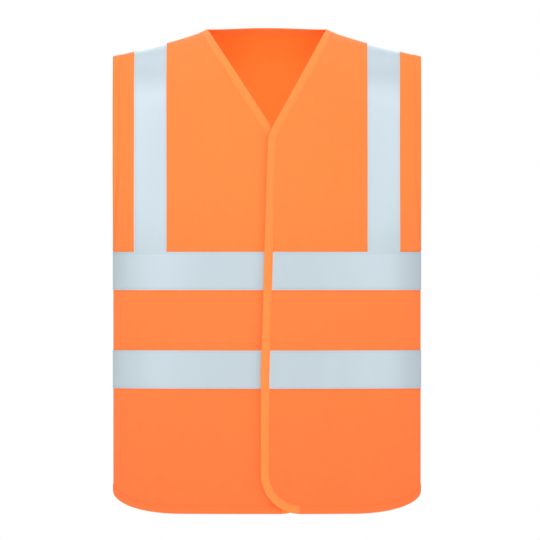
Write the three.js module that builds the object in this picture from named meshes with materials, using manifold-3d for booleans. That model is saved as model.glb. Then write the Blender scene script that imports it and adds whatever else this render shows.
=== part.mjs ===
// High visibility vest: two orange cloth fronts and a back, bound all round with orange
// binding, with two bands of silver reflective tape and a brace of tape over each shoulder.
// The left front laps over the right one and closes on three touch fastener strips.
//
// Millimetres, +Z up, the front faces -Y and the wearer's left is +X. The origin is on the
// shoulder line, midway between the two points where the shoulders meet the neck.
// Inside this file heights run up from the hem, and the finished group is lowered at the end.

import * as THREE from 'three';
import { mergeVertices } from 'three/addons/utils/BufferGeometryUtils.js';
import Module from 'manifold-3d';

const wasm = await Module();
wasm.setup();

// ---------------------------------------------------------------- driving dimensions
const HALF_WIDTH = 199.3;        // half the width of the cloth at the side seams
const FRONT_DEPTH = 110;         // how far the chest stands in front of the side seams
const BACK_DEPTH = 100;          // how far the back stands behind the side seams
const NECK_HEIGHT = 626.6;       // shoulder line above the hem, where it meets the neck
const NECK_HALF_WIDTH = 78;
const SHOULDER_DROP = 35;        // fall of the shoulder line from the neck to its tip
const SHOULDER_CURVE = 0.82;     // below 1 the shoulder line falls faster next to the neck
const SHOULDER_ROLL = 80;        // height over which the cloth rolls over the shoulder
const NECK_RISE = 39;            // rise of the unseen ridge line above the nape
const NAPE_RISE = 3;             // how far the back neck edge bows up at its middle
const ARMHOLE_LENGTH = 286.6;     // from the neck line down to the underarm
const UNDERARM_HEIGHT = NECK_HEIGHT - ARMHOLE_LENGTH;
const ARMHOLE_SWELL = 120;       // height over which the armhole opens to its full depth
const ARMHOLE_HALF_DEPTH = 45;
const HEM_RISE = 28;             // how far the hem curves up at the side seams
const HEM_RISE_RUN = 86;

const NECK_DEPTH = 129.6;        // from the neck line down to where the two neck edges cross
const V_POINT = [6.5, NECK_HEIGHT - NECK_DEPTH];
const TOP_EDGE = { x: -7, bendX: 1.5, bendDrop: 27, straightHeight: 180, corner: 50 };
const UNDER_EDGE = { x: 58, bendX: 47, bendDrop: 77, straightHeight: 150, corner: 40 };
const LEFT_CREASE = { bottom: 96, top: 56, topDrop: 38.6 };
const RIGHT_CREASE = { bottom: -44, top: -44, topDrop: 38.6 };

const CLOTH = 0.9;               // thickness of the cloth solids
const TAPE = 0.5;                // thickness of the reflective tape
const TAPE_WIDTH = 49.5;
const LOWER_TAPE_HEIGHT = 161;   // lower edge of the lower band
const UPPER_TAPE_DROP = 1.9;      // from the underarm down to the upper edge of the upper band
const UPPER_TAPE_HEIGHT = UNDERARM_HEIGHT - UPPER_TAPE_DROP - TAPE_WIDTH;
const BRACE_CENTRE = 151;
const BRACE_WIDTH = 42;          // seen from the front, where the tape slants away
const BINDING_WIDTH = 10;
const BINDING_CLOTH = 0.6;       // thickness of the folded binding on each face
const ARMHOLE_WEB = 2.4;         // depth of the fold outside the cloth's edge at an armhole
const OVERLAP_LIFT = 4;          // how far the top front rides in front of the under one
const LIFT_FROM = 60;            // the lift dies away between these two distances
const LIFT_TO = 100;
const LIFT_BELOW_NECK = 110;     // and over this height on the way up to the shoulder
const STRIP_WIDTH = 20;          // touch fastener strips
const STRIP_LENGTH = 64;
const STRIP_THICKNESS = 1;
const STRIP_FROM_BINDING = 0.5;
const STRIP_X = TOP_EDGE.bendX + BINDING_WIDTH + STRIP_FROM_BINDING + STRIP_WIDTH / 2;
const STRIP_ABOVE_TAPE = 22.9;
const STRIP_BELOW_TAPE = 11;
const BETWEEN_TAPES = UPPER_TAPE_HEIGHT - LOWER_TAPE_HEIGHT - TAPE_WIDTH;
const MIDDLE_STRIP_LENGTH = Math.min(STRIP_LENGTH, BETWEEN_TAPES - 2 * STRIP_FROM_BINDING);
const STRIPS = {
  upper: { bottom: UPPER_TAPE_HEIGHT + TAPE_WIDTH + STRIP_ABOVE_TAPE, length: STRIP_LENGTH },
  middle: {
    bottom: UPPER_TAPE_HEIGHT - (BETWEEN_TAPES + MIDDLE_STRIP_LENGTH) / 2,
    length: MIDDLE_STRIP_LENGTH,
  },
  lower: {
    bottom: LOWER_TAPE_HEIGHT - STRIP_BELOW_TAPE - STRIP_LENGTH,
    length: STRIP_LENGTH,
  },
};
const SEAM_HALF_WIDTH = 8;       // seam allowances, turned to both sides of a seam
const SEAM_THICKNESS = 1.2;
const LABEL = { width: 38, height: 60, thickness: 0.5, bottom: 120, clearance: 0.8 };
const GAP = 0.3;                 // clearance between neighbouring solids

// Depths of each ply, measured outwards from the inner face of the cloth.
const PLY = {
  cloth: [0, CLOTH],
  tape: [CLOTH + GAP, CLOTH + GAP + TAPE],
  binding: [-GAP - BINDING_CLOTH, CLOTH + GAP + BINDING_CLOTH],
  bindingFold: [-GAP, CLOTH + GAP],
  seam: [-GAP - SEAM_THICKNESS, -GAP],
  loop: [CLOTH + GAP, CLOTH + GAP + STRIP_THICKNESS],
  hook: [-GAP - STRIP_THICKNESS, -GAP],
};

// Fineness of the plies.
const COLUMN_WIDTH = 24.9;
const COLUMNS = 2 * Math.round(HALF_WIDTH / COLUMN_WIDTH) + 1;
const ARMHOLE_ROWS = 4;
const ROLL_ROWS = 5;
const ARMHOLE_STATIONS = 8;
const NECK_STATIONS = 8;
const HEM_STATIONS = 12;
const CORNER_STATIONS = 5;
const PAST_SEAM = 0.5;           // degrees that a ply runs past a side seam before it is cut
const PAST_RIDGE = 1.5;          // degrees that a ply runs past the shoulder line
const FRONT = -1;
const BACK = 1;
const DEG = Math.PI / 180;
const BELOW_HEM = -5;
const ABOVE_ALL = NECK_HEIGHT + 60;
const FAR = 400;

// ---------------------------------------------------------------- the form of the body
const clamp01 = (value) => Math.min(1, Math.max(0, value));
const smooth = (value) => clamp01(value) ** 2 * (3 - 2 * clamp01(value));

// Height of the shoulder line, carried on over the neck opening.
function ridge(x) {
  const away = Math.abs(x);
  if (away < NECK_HALF_WIDTH) {
    return NECK_HEIGHT + NECK_RISE * (1 + Math.cos(Math.PI * away / NECK_HALF_WIDTH)) / 2;
  }
  const along = (away - NECK_HALF_WIDTH) / (HALF_WIDTH - NECK_HALF_WIDTH);
  return NECK_HEIGHT - SHOULDER_DROP * along ** SHOULDER_CURVE;
}

// Height of the hem, level in the middle and curved up to the side seams.
function hem(x) {
  const run = clamp01((Math.abs(x) - HALF_WIDTH + HEM_RISE_RUN) / HEM_RISE_RUN);
  return HEM_RISE * (1 - Math.sqrt(1 - run ** 2));
}

// A point on the inner face of the cloth. Phi goes round the body from one side seam to the
// other, and climb runs up it: a height at first, then a length round the shoulder roll.
function bodyPoint(side, phi, climb) {
  const x = HALF_WIDTH * Math.sin(phi);
  const rollStart = ridge(x) - SHOULDER_ROLL;
  const turn = Math.max(0, (climb - rollStart) / SHOULDER_ROLL);
  const height = turn > 0 ? rollStart + SHOULDER_ROLL * Math.sin(turn) : climb;
  const swell = clamp01((height - UNDERARM_HEIGHT) / ARMHOLE_SWELL);
  const edge = ARMHOLE_HALF_DEPTH * (1 - (1 - swell) ** 2);
  const power = 1 + 0.8 * smooth(swell);
  const bulge = Math.sign(Math.cos(phi)) * Math.abs(Math.cos(phi)) ** power;
  const depth = side === FRONT ? FRONT_DEPTH : BACK_DEPTH;
  const y = side * (edge + (depth - edge) * bulge) * Math.cos(turn);
  return new THREE.Vector3(x, y, height);
}

// The outward direction there. It is taken a little inside the side seams and the ridge.
function bodyNormal(side, phi, climb) {
  const step = 0.5 * DEG;
  const centre = Math.min(88 * DEG, Math.max(-88 * DEG, phi));
  const across = bodyPoint(side, centre + step, climb).sub(bodyPoint(side, centre - step, climb));
  const up = bodyPoint(side, centre, climb + 0.5).sub(bodyPoint(side, centre, climb - 0.5));
  return across.cross(up).multiplyScalar(-side).normalize();
}

// The climb that reaches a given height at a given x.
function climbAt(x, height) {
  const rollStart = ridge(x) - SHOULDER_ROLL;
  if (height <= rollStart) return height;
  return rollStart + SHOULDER_ROLL * Math.asin(Math.min(1, (height - rollStart) / SHOULDER_ROLL));
}

// How far the top front stands off to make room for the under one.
function lift(x, height) {
  const sideways = 1 - smooth((x - LIFT_FROM) / (LIFT_TO - LIFT_FROM));
  return OVERLAP_LIFT * sideways * smooth((NECK_HEIGHT - height) / LIFT_BELOW_NECK);
}

// ---------------------------------------------------------------- solids
function makeSolid(positions, triangles) {
  const mesh = new wasm.Mesh({
    numProp: 3,
    vertProperties: new Float32Array(positions),
    triVerts: new Uint32Array(triangles),
  });
  return new wasm.Manifold(mesh);
}

// A closed slab between two matching grids of points, faced outwards.
function slab(outer, inner) {
  const rows = outer.length;
  const columns = outer[0].length;
  const points = [...outer.flat(), ...inner.flat()];
  const at = (shell, row, column) => shell * rows * columns + row * columns + column;
  const triangles = [];
  const quad = (a, b, c, d) => triangles.push(a, b, c, a, c, d);
  for (let row = 0; row < rows - 1; row += 1) {
    for (let col = 0; col < columns - 1; col += 1) {
      quad(at(0, row, col), at(0, row, col + 1), at(0, row + 1, col + 1), at(0, row + 1, col));
      quad(at(1, row, col), at(1, row + 1, col), at(1, row + 1, col + 1), at(1, row, col + 1));
    }
    const last = columns - 1;
    quad(at(0, row, 0), at(0, row + 1, 0), at(1, row + 1, 0), at(1, row, 0));
    quad(at(0, row, last), at(1, row, last), at(1, row + 1, last), at(0, row + 1, last));
  }
  for (let col = 0; col < columns - 1; col += 1) {
    const last = rows - 1;
    quad(at(0, 0, col), at(1, 0, col), at(1, 0, col + 1), at(0, 0, col + 1));
    quad(at(0, last, col), at(0, last, col + 1), at(1, last, col + 1), at(1, last, col));
  }
  const volume = signedVolume(points, triangles);
  if (volume < 0) triangles.reverse();
  return makeSolid(points.flatMap((point) => point.toArray()), triangles);
}

function signedVolume(points, triangles) {
  let volume = 0;
  for (let i = 0; i < triangles.length; i += 3) {
    const [a, b, c] = [0, 1, 2].map((corner) => points[triangles[i + corner]]);
    volume += a.dot(b.clone().cross(c)) / 6;
  }
  return volume;
}

// A three.js geometry as a solid.
function solidOf(geometry) {
  geometry.deleteAttribute('normal');
  geometry.deleteAttribute('uv');
  const merged = mergeVertices(geometry, 1e-5);
  return makeSolid(merged.attributes.position.array, merged.index.array);
}

function box(x0, x1, y0, y1, z0, z1) {
  const geometry = new THREE.BoxGeometry(x1 - x0, y1 - y0, z1 - z0);
  geometry.translate((x0 + x1) / 2, (y0 + y1) / 2, (z0 + z1) / 2);
  return solidOf(geometry);
}

// An outline in x and height, run through the whole depth on one side of the seams.
function prism(side, outline) {
  const shape = new THREE.Shape(outline.map(([x, height]) => new THREE.Vector2(x, height)));
  const geometry = new THREE.ExtrudeGeometry(shape, { depth: FAR, bevelEnabled: false });
  geometry.rotateX(90 * DEG);
  geometry.translate(0, side === FRONT ? -GAP / 2 : FAR + GAP / 2, 0);
  return solidOf(geometry);
}

// A whole ply of one side of the vest between two depths. The top front's plies are lifted.
const plies = new Map();
function ply(side, [inside, outside], lifted = false) {
  const key = [side, inside, outside, lifted].join();
  if (plies.has(key)) return plies.get(key);
  const shells = [outside, inside].map((depth) => plyRows().map((climbOf) => {
    const row = [];
    for (let column = 0; column <= COLUMNS; column += 1) {
      const phi = (2 * column / COLUMNS - 1) * (90 + PAST_SEAM) * DEG;
      const x = HALF_WIDTH * Math.sin(phi);
      const climb = climbOf(x);
      const point = bodyPoint(side, phi, climb);
      const out = depth + (lifted ? lift(x, point.z) : 0);
      row.push(point.addScaledVector(bodyNormal(side, phi, climb), out));
    }
    return row;
  }));
  plies.set(key, slab(shells[0], shells[1]));
  return plies.get(key);
}

// The rows of a ply, each a rule for the climb at a given x. The body is a straight tube up
// to the underarm, so its rows only start there.
function plyRows() {
  const rows = [() => BELOW_HEM];
  for (let row = 0; row <= ARMHOLE_ROWS; row += 1) {
    const share = row / ARMHOLE_ROWS;
    rows.push((x) => THREE.MathUtils.lerp(UNDERARM_HEIGHT, ridge(x) - SHOULDER_ROLL, share));
  }
  for (let row = 1; row <= ROLL_ROWS; row += 1) {
    const past = row === ROLL_ROWS ? PAST_RIDGE : 0;
    const turn = (90 * row / ROLL_ROWS + past) * DEG;
    rows.push((x) => ridge(x) - SHOULDER_ROLL + SHOULDER_ROLL * turn);
  }
  return rows;
}

// Front and back of something that runs on over the shoulder line or round a side seam.
// The halves share a sliver there, so that they become one body.
function wrap(front, back) {
  const share = 0.2;
  const ahead = box(-FAR, FAR, -FAR, share, -FAR, 2 * FAR);
  const behind = box(-FAR, FAR, -share, FAR, -FAR, 2 * FAR);
  return front.intersect(ahead).add(back.intersect(behind));
}

// ---------------------------------------------------------------- edges and their bands
// An edge station is a place on the surface, given by phi and climb.
const station = ([x, height]) => ({ phi: Math.asin(x / HALF_WIDTH), climb: climbAt(x, height) });
const ridgeClimb = (x) => ridge(x) - SHOULDER_ROLL + SHOULDER_ROLL * 90 * DEG;

// Steps along the surface from a station, in a direction in space.
function walk(side, start, direction, distance) {
  let { phi, climb } = start;
  const steps = 4;
  const small = 1e-3;
  for (let step = 0; step < steps; step += 1) {
    const here = bodyPoint(side, phi, climb);
    const across = bodyPoint(side, phi + small, climb).sub(here).divideScalar(small);
    const up = bodyPoint(side, phi, climb + small).sub(here).divideScalar(small);
    const aa = across.dot(across);
    const au = across.dot(up);
    const uu = up.dot(up);
    const a = across.dot(direction) * distance / steps;
    const u = up.dot(direction) * distance / steps;
    const det = aa * uu - au * au;
    phi += (a * uu - u * au) / det;
    climb += (u * aa - a * au) / det;
  }
  return { phi, climb };
}

// A cutter that follows an edge, from one distance inside it to another, right through all
// the plies. Inside is to the left of the edge's direction, seen from outside the vest.
function edgeBand(side, stations, from, to) {
  const spots = stations.map(({ phi, climb }) => bodyPoint(side, phi, climb));
  const rows = stations.map((spot, index) => {
    const before = spots[Math.max(0, index - 1)];
    const after = spots[Math.min(spots.length - 1, index + 1)];
    const normal = bodyNormal(side, spot.phi, spot.climb);
    const inward = normal.clone().cross(after.clone().sub(before)).normalize();
    return [from, to].map((distance) => walk(side, spot, inward, distance));
  });
  return cutter(side, rows);
}

// The cutter round an armhole's edge, measured along the cloth from the edge inwards.
function armholeBand(side, hand, from, to) {
  const rows = [];
  const top = ridgeClimb(HALF_WIDTH) + 3;
  for (let index = 0; index <= ARMHOLE_STATIONS; index += 1) {
    const climb = THREE.MathUtils.lerp(UNDERARM_HEIGHT, top, index / ARMHOLE_STATIONS);
    rows.push([from, to].map((distance) => armholeSpot(side, hand, climb, distance)));
  }
  return cutter(side, rows);
}

function armholeSpot(side, hand, climb, distance) {
  const edge = bodyPoint(side, hand * 90 * DEG, climb);
  if (distance <= 0) {
    const inner = bodyPoint(side, hand * 84 * DEG, climb);
    const beyond = edge.clone().sub(inner).normalize().multiplyScalar(-distance);
    return { phi: hand * 90 * DEG, climb, beyond };
  }
  let near = 0;
  let far = 40 * DEG;
  for (let turn = 0; turn < 30; turn += 1) {
    const middle = (near + far) / 2;
    const reached = bodyPoint(side, hand * (90 * DEG - middle), climb).distanceTo(edge);
    if (reached < distance) near = middle;
    else far = middle;
  }
  return { phi: hand * (90 * DEG - near), climb };
}

function cutter(side, rows) {
  const reach = { out: 12, into: -6 };
  const place = (depth) => rows.map((row) => row.map(({ phi, climb, beyond }) => {
    const point = bodyPoint(side, phi, climb);
    point.addScaledVector(bodyNormal(side, phi, climb), depth);
    return beyond ? point.add(beyond) : point;
  }));
  return slab(place(reach.out), place(reach.into));
}

// ---------------------------------------------------------------- outlines
const line = (from, to, count) => Array.from({ length: count + 1 }, (_, index) => [
  THREE.MathUtils.lerp(from[0], to[0], index / count),
  THREE.MathUtils.lerp(from[1], to[1], index / count),
]);

// The edge of a front: down the neck, round the bend, down the front, round the bottom corner
// and along the hem to the side seam. Hand is +1 for the left front and -1 for the right.
function frontEdge(hand, edge) {
  const neck = [hand * NECK_HALF_WIDTH, NECK_HEIGHT];
  const slope = (neck[1] - V_POINT[1]) / (neck[0] - V_POINT[0]);
  const start = [edge.bendX + hand * 6, V_POINT[1] + (edge.bendX + hand * 6 - V_POINT[0]) * slope];
  const knee = [edge.bendX, V_POINT[1] + (edge.bendX - V_POINT[0]) * slope];
  const path = new THREE.Path();
  path.moveTo(...start);
  const bendHeight = V_POINT[1] - edge.bendDrop;
  path.quadraticCurveTo(...knee, edge.bendX, bendHeight);
  const bend = path.getPoints(3).map((point) => point.toArray());
  const arc = [];
  for (let index = 0; index <= CORNER_STATIONS; index += 1) {
    const angle = 90 * DEG * index / CORNER_STATIONS;
    arc.push([
      edge.x + hand * edge.corner * (1 - Math.cos(angle)),
      edge.corner * (1 - Math.sin(angle)),
    ]);
  }
  const neckPart = line(neck, start, NECK_STATIONS).slice(0, -1);
  const frontPart = line([edge.bendX, bendHeight], [edge.x, edge.straightHeight], 3).slice(1);
  const hemPart = [];
  const first = Math.asin((edge.x + hand * edge.corner) / HALF_WIDTH);
  const count = HEM_STATIONS / 2;
  for (let index = 1; index <= count; index += 1) {
    const phi = THREE.MathUtils.lerp(first, hand * 90 * DEG, index / count);
    hemPart.push([HALF_WIDTH * Math.sin(phi), hem(HALF_WIDTH * Math.sin(phi))]);
  }
  return [...neckPart, ...bend, ...frontPart, ...arc, ...hemPart];
}

// The same edge as stations, run on past the ridge and past the side seam.
function frontStations(hand, edge) {
  const stations = frontEdge(hand, edge).map(station);
  stations[0] = { phi: stations[0].phi, climb: ridgeClimb(hand * NECK_HALF_WIDTH) };
  return runOn(FRONT, hand > 0 ? stations : stations.reverse());
}

// Adds a station past each end, in line with the last two.
function runOn(side, stations) {
  const past = 7;
  const beyond = (end, next) => {
    const length = bodyPoint(side, end.phi, end.climb)
      .distanceTo(bodyPoint(side, next.phi, next.climb));
    return {
      phi: end.phi + (end.phi - next.phi) * past / length,
      climb: end.climb + (end.climb - next.climb) * past / length,
    };
  };
  const last = stations.length - 1;
  return [
    beyond(stations[0], stations[1]),
    ...stations,
    beyond(stations[last], stations[last - 1]),
  ];
}

// An outline moved outwards a little, so that an edge band makes the final cut.
function spread(outline, hand, margin) {
  return outline.map(([x, height], index) => {
    const before = outline[Math.max(0, index - 1)];
    const after = outline[Math.min(outline.length - 1, index + 1)];
    const length = Math.hypot(after[0] - before[0], after[1] - before[1]);
    const outX = hand * (after[1] - before[1]) / length;
    const outHeight = -hand * (after[0] - before[0]) / length;
    return [x + margin * outX, height + margin * outHeight];
  });
}

const MARGIN = 2;                // how far outlines run past the edges that bands cut
const BEYOND = 14;               // how far a trimming band reaches outside an edge

function frontOutline(hand, edge) {
  const cut = spread(frontEdge(hand, edge), hand, MARGIN);
  const side = hand * (HALF_WIDTH + 20);
  const end = cut[cut.length - 1];
  return [[cut[0][0], ABOVE_ALL], ...cut, [side, end[1]], [side, ABOVE_ALL]];
}

// The back neck edge, from the right shoulder to the left one.
function backNeckEdge() {
  const edge = [];
  for (let index = 0; index <= HEM_STATIONS; index += 1) {
    const x = -NECK_HALF_WIDTH * Math.cos(Math.PI * index / HEM_STATIONS);
    edge.push([x, NECK_HEIGHT + NAPE_RISE * (1 - (x / NECK_HALF_WIDTH) ** 2) ** 2]);
  }
  return edge;
}

function backHemEdge() {
  return Array.from({ length: HEM_STATIONS + 1 }, (_, index) => {
    const x = HALF_WIDTH * Math.sin((90 - 180 * index / HEM_STATIONS) * DEG);
    return [x, hem(x)];
  });
}

function backOutline() {
  const side = HALF_WIDTH + 20;
  const neck = backNeckEdge().map(([x, height]) => [x, height + MARGIN]);
  const hemCut = backHemEdge().map(([x, height]) => [x, height - MARGIN]);
  return [
    [side, HEM_RISE - MARGIN], [side, ABOVE_ALL], [NECK_HALF_WIDTH, ABOVE_ALL],
    ...neck.reverse(),
    [-NECK_HALF_WIDTH, ABOVE_ALL], [-side, ABOVE_ALL], [-side, HEM_RISE - MARGIN],
    ...hemCut.reverse(),
  ];
}

function backNeckStations() {
  const stations = backNeckEdge().map(station);
  stations[0].climb = ridgeClimb(-NECK_HALF_WIDTH);
  stations[stations.length - 1].climb = ridgeClimb(NECK_HALF_WIDTH);
  return runOn(BACK, stations);
}

// ---------------------------------------------------------------- the three cloth shapes
// Each holds the outline of its panel and the bands that its edges cut.
const joinAll = (solids) => solids.reduce((whole, solid) => whole.add(solid));
const HANDS = { right: -1, left: 1 };

function armholeBands(side, hands, from, to) {
  return joinAll(hands.map((hand) => armholeBand(side, hand, from, to)));
}

const EDGES = {
  right: frontStations(HANDS.right, UNDER_EDGE),
  left: frontStations(HANDS.left, TOP_EDGE),
};
const BACK_EDGES = [backNeckStations(), runOn(BACK, backHemEdge().map(station))];
const PANEL_INSET = GAP + ARMHOLE_WEB;

// The area of a front that its cloth covers, edges cut exactly.
function frontCloth(name) {
  const hand = HANDS[name];
  const edge = hand > 0 ? TOP_EDGE : UNDER_EDGE;
  return prism(FRONT, frontOutline(hand, edge))
    .subtract(edgeBand(FRONT, EDGES[name], -BEYOND, 0))
    .subtract(armholeBand(FRONT, hand, -BEYOND, PANEL_INSET));
}

function backCloth() {
  const trims = BACK_EDGES.map((edge) => edgeBand(BACK, edge, -BEYOND, 0));
  return prism(BACK, backOutline())
    .subtract(joinAll(trims))
    .subtract(armholeBands(BACK, Object.values(HANDS), -BEYOND, PANEL_INSET));
}

// The area left free for what is sewn on the cloth, clear of the bindings.
const bindingInside = BINDING_WIDTH + GAP;
const frontBound = (name) => edgeBand(FRONT, EDGES[name], -BEYOND, bindingInside);

// ---------------------------------------------------------------- regions
// The fronts fold open on a crease, which parts each of them into a side and a flap.
function creaseRegion(name, piece) {
  const crease = name === 'left' ? LEFT_CREASE : RIGHT_CREASE;
  const slope = (crease.top - crease.bottom) / (NECK_HEIGHT - crease.topDrop);
  const toSide = (piece === 'side' ? 1 : -1) * HANDS[name];
  const xAt = (height) => crease.bottom + slope * height + toSide * GAP / 2;
  const far = toSide * FAR;
  const low = BELOW_HEM - 1;
  return prism(FRONT, [
    [xAt(low), low], [far, low], [far, ABOVE_ALL], [xAt(ABOVE_ALL), ABOVE_ALL],
  ]);
}

const regions = {
  right: { side: creaseRegion('right', 'side'), flap: creaseRegion('right', 'flap') },
  left: { side: creaseRegion('left', 'side'), flap: creaseRegion('left', 'flap') },
};

const bandRegion = (side, bottom, top) => prism(side, [
  [-FAR, bottom], [FAR, bottom], [FAR, top], [-FAR, top],
]);

const braceRegion = (side, hand) => prism(side, [
  [hand * (BRACE_CENTRE - BRACE_WIDTH / 2), UPPER_TAPE_HEIGHT + TAPE_WIDTH + GAP],
  [hand * (BRACE_CENTRE + BRACE_WIDTH / 2), UPPER_TAPE_HEIGHT + TAPE_WIDTH + GAP],
  [hand * (BRACE_CENTRE + BRACE_WIDTH / 2), ABOVE_ALL],
  [hand * (BRACE_CENTRE - BRACE_WIDTH / 2), ABOVE_ALL],
]);

// ---------------------------------------------------------------- looks
const LOOKS = {
  cloth: { color: 0xff8844, roughness: 0.85, metalness: 0 },
  binding: { color: 0xfe9850, roughness: 0.8, metalness: 0 },
  tape: { color: 0xc8d7e0, roughness: 0.35, metalness: 0.2 },
  fastener: { color: 0xf07a38, roughness: 0.9, metalness: 0 },
  label: { color: 0xf2f2ee, roughness: 0.8, metalness: 0 },
};

const vest = new THREE.Group();

function addNode(name, solid, look) {
  const { vertProperties, triVerts } = solid.getMesh();
  const geometry = new THREE.BufferGeometry();
  geometry.setAttribute('position', new THREE.BufferAttribute(vertProperties, 3));
  geometry.setIndex(new THREE.BufferAttribute(triVerts, 1));
  const mesh = new THREE.Mesh(geometry, new THREE.MeshStandardMaterial(LOOKS[look]));
  mesh.name = name;
  vest.add(mesh);
}

// ---------------------------------------------------------------- panels
function addPanels() {
  addNode('back_panel', ply(BACK, PLY.cloth).intersect(backCloth()), 'cloth');
  for (const name of Object.keys(HANDS)) {
    const front = ply(FRONT, PLY.cloth, name === 'left').intersect(frontCloth(name));
    addNode(`${name}_front_side`, front.intersect(regions[name].side), 'cloth');
    addNode(`${name}_front_flap`, front.intersect(regions[name].flap), 'cloth');
  }
}

// The seam allowances lie inside, over the shoulder lines and down the side seams.
function addSeams() {
  const inside = wrap(ply(FRONT, PLY.seam), ply(BACK, PLY.seam));
  const half = SEAM_HALF_WIDTH;
  const clear = BINDING_WIDTH + 4;
  const shoulder = [NECK_HALF_WIDTH + clear, HALF_WIDTH - clear];
  for (const [name, hand] of Object.entries(HANDS)) {
    const across = shoulder.map((x) => hand * x).sort((a, b) => a - b);
    const overShoulder = box(...across, -half, half, UNDERARM_HEIGHT, ABOVE_ALL);
    addNode(`${name}_shoulder_seam`, inside.intersect(overShoulder), 'cloth');
    const sides = [hand * HALF_WIDTH * 0.8, hand * (HALF_WIDTH + 5)].sort((a, b) => a - b);
    const bottom = HEM_RISE + BINDING_WIDTH + 2;
    const downSide = box(...sides, -half, half, bottom, UNDERARM_HEIGHT - 1);
    addNode(`${name}_side_seam`, inside.intersect(downSide), 'cloth');
  }
}

// ---------------------------------------------------------------- bindings
// A binding folds over an edge: a full strip less the fold that the cloth's edge lies in.
function foldedBinding(side, edge, lifted) {
  const outerBand = edgeBand(side, edge, -GAP - BINDING_CLOTH, BINDING_WIDTH);
  const foldBand = edgeBand(side, edge, -GAP, BINDING_WIDTH + 1);
  const strip = ply(side, PLY.binding, lifted).intersect(outerBand);
  return strip.subtract(ply(side, PLY.bindingFold, lifted).intersect(foldBand));
}

function addBindings() {
  const behind = bandRegion(BACK, BELOW_HEM - 5, ABOVE_ALL);
  const names = ['back_neck_binding', 'back_hem_binding'];
  BACK_EDGES.forEach((edge, index) => {
    addNode(names[index], foldedBinding(BACK, edge, false).intersect(behind), 'binding');
  });
  const middle = UNDERARM_HEIGHT / 2;
  for (const name of Object.keys(HANDS)) {
    const whole = foldedBinding(FRONT, EDGES[name], name === 'left');
    const { side, flap } = regions[name];
    const neck = side.intersect(bandRegion(FRONT, middle, ABOVE_ALL));
    const hemSide = side.intersect(bandRegion(FRONT, BELOW_HEM - 1, middle));
    addNode(`${name}_neck_binding`, whole.intersect(neck), 'binding');
    addNode(`${name}_flap_binding`, whole.intersect(flap), 'binding');
    addNode(`${name}_front_hem_binding`, whole.intersect(hemSide), 'binding');
    addNode(`${name}_armhole_binding`, armholeBinding(HANDS[name]), 'binding');
  }
}

// An armhole's binding runs from the underarm up the front, over the shoulder and down.
function armholeBinding(hand) {
  const inside = PANEL_INSET + BINDING_WIDTH;
  const halves = [FRONT, BACK].map((side) => {
    const strip = ply(side, PLY.binding).intersect(armholeBand(side, hand, -BEYOND, inside));
    const fold = armholeBand(side, hand, PANEL_INSET - GAP, inside + 1);
    return strip.subtract(ply(side, PLY.bindingFold).intersect(fold));
  });
  const above = box(-FAR, FAR, -FAR, FAR, UNDERARM_HEIGHT + GAP, ABOVE_ALL);
  return wrap(...halves).intersect(above);
}

// ---------------------------------------------------------------- reflective tapes
function addTapes() {
  const bands = { upper: UPPER_TAPE_HEIGHT, lower: LOWER_TAPE_HEIGHT };
  for (const [level, bottom] of Object.entries(bands)) {
    const top = bottom + TAPE_WIDTH;
    const backBand = ply(BACK, PLY.tape).intersect(bandRegion(BACK, bottom, top));
    addNode(`back_${level}_tape`, backBand, 'tape');
    for (const name of Object.keys(HANDS)) {
      const band = ply(FRONT, PLY.tape, name === 'left')
        .intersect(bandRegion(FRONT, bottom, top))
        .intersect(prism(FRONT, frontOutline(HANDS[name], name === 'left' ? TOP_EDGE : UNDER_EDGE)))
        .subtract(frontBound(name));
      addNode(`${name}_front_${level}_tape`, band.intersect(regions[name].side), 'tape');
      addNode(`${name}_flap_${level}_tape`, band.intersect(regions[name].flap), 'tape');
    }
  }
  for (const [name, hand] of Object.entries(HANDS)) {
    for (const [place, side] of Object.entries({ front: FRONT, back: BACK })) {
      const brace = ply(side, PLY.tape, side === FRONT && hand > 0)
        .intersect(braceRegion(side, hand));
      addNode(`${name}_${place}_brace_tape`, brace, 'tape');
    }
  }
}

// ---------------------------------------------------------------- fasteners and label
// The hook strips are on the inside of the top front, the loop strips on the under front.
function addFasteners() {
  const half = STRIP_WIDTH / 2;
  for (const [level, { bottom, length }] of Object.entries(STRIPS)) {
    const area = prism(FRONT, [
      [STRIP_X - half, bottom], [STRIP_X + half, bottom],
      [STRIP_X + half, bottom + length], [STRIP_X - half, bottom + length],
    ]);
    addNode(`${level}_hook_strip`, ply(FRONT, PLY.hook, true).intersect(area), 'fastener');
    addNode(`${level}_loop_strip`, ply(FRONT, PLY.loop).intersect(area), 'fastener');
  }
}

// The care label is caught in the left side seam and hangs inside the vest.
function addLabel() {
  const seamInside = HALF_WIDTH - GAP - SEAM_THICKNESS - LABEL.clearance;
  const { width, height, thickness, bottom } = LABEL;
  const label = box(seamInside - width, seamInside, -thickness / 2, thickness / 2,
    bottom, bottom + height);
  addNode('care_label', label, 'label');
}

addPanels();
addSeams();
addBindings();
addTapes();
addFasteners();
addLabel();
vest.position.z = -NECK_HEIGHT;

export default vest;
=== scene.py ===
# %% [markdown]
# # A high visibility vest
# The vest is cloth from edge to edge: two fronts, a back, silver tape, folded binding and a few
# fastener strips. The CAD frame already holds its size, its place and the way its fronts open.
# This lesson makes the cloth itself. The frame is loaded first, and its box is kept, because the
# finished vest must fill the same space.

# %% Load the frame
import math
import bpy
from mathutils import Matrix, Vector, noise


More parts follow.
